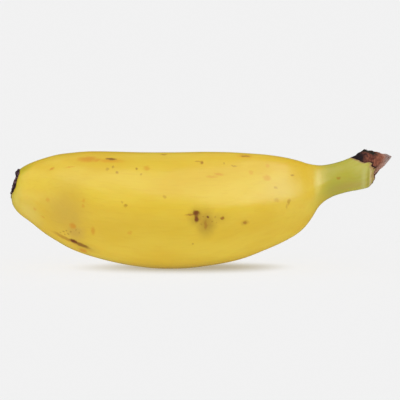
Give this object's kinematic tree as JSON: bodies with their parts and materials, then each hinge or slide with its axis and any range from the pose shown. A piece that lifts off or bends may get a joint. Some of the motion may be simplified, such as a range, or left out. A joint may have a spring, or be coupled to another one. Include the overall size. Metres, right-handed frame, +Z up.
{
  "type": "baby banana",
  "caption": "Small curved ripe banana with soft ridges, a short green stalk that ends in a dry torn crown, and a dark blossom scar, lying on its outer curve.",
  "frame": {"origin": "on the surface that the fruit lies on, under the middle of its length and width", "axes": "+X from the blossom end towards the stalk, +Y to the fruit's far side, +Z up; the fruit curves in the XZ plane with both ends raised"},
  "size_m": [0.1101, 0.0324, 0.0343],
  "materials": {
    "peel": "smooth waxy ripe banana peel, yellow with small brown marks, turning green on the stalk",
    "dry_tissue": "dry brown fibrous plant tissue of the torn crown and the blossom scar"
  },
  "bodies": {
    "root": {"banana": "peel"}
  },
  "joints": []
}
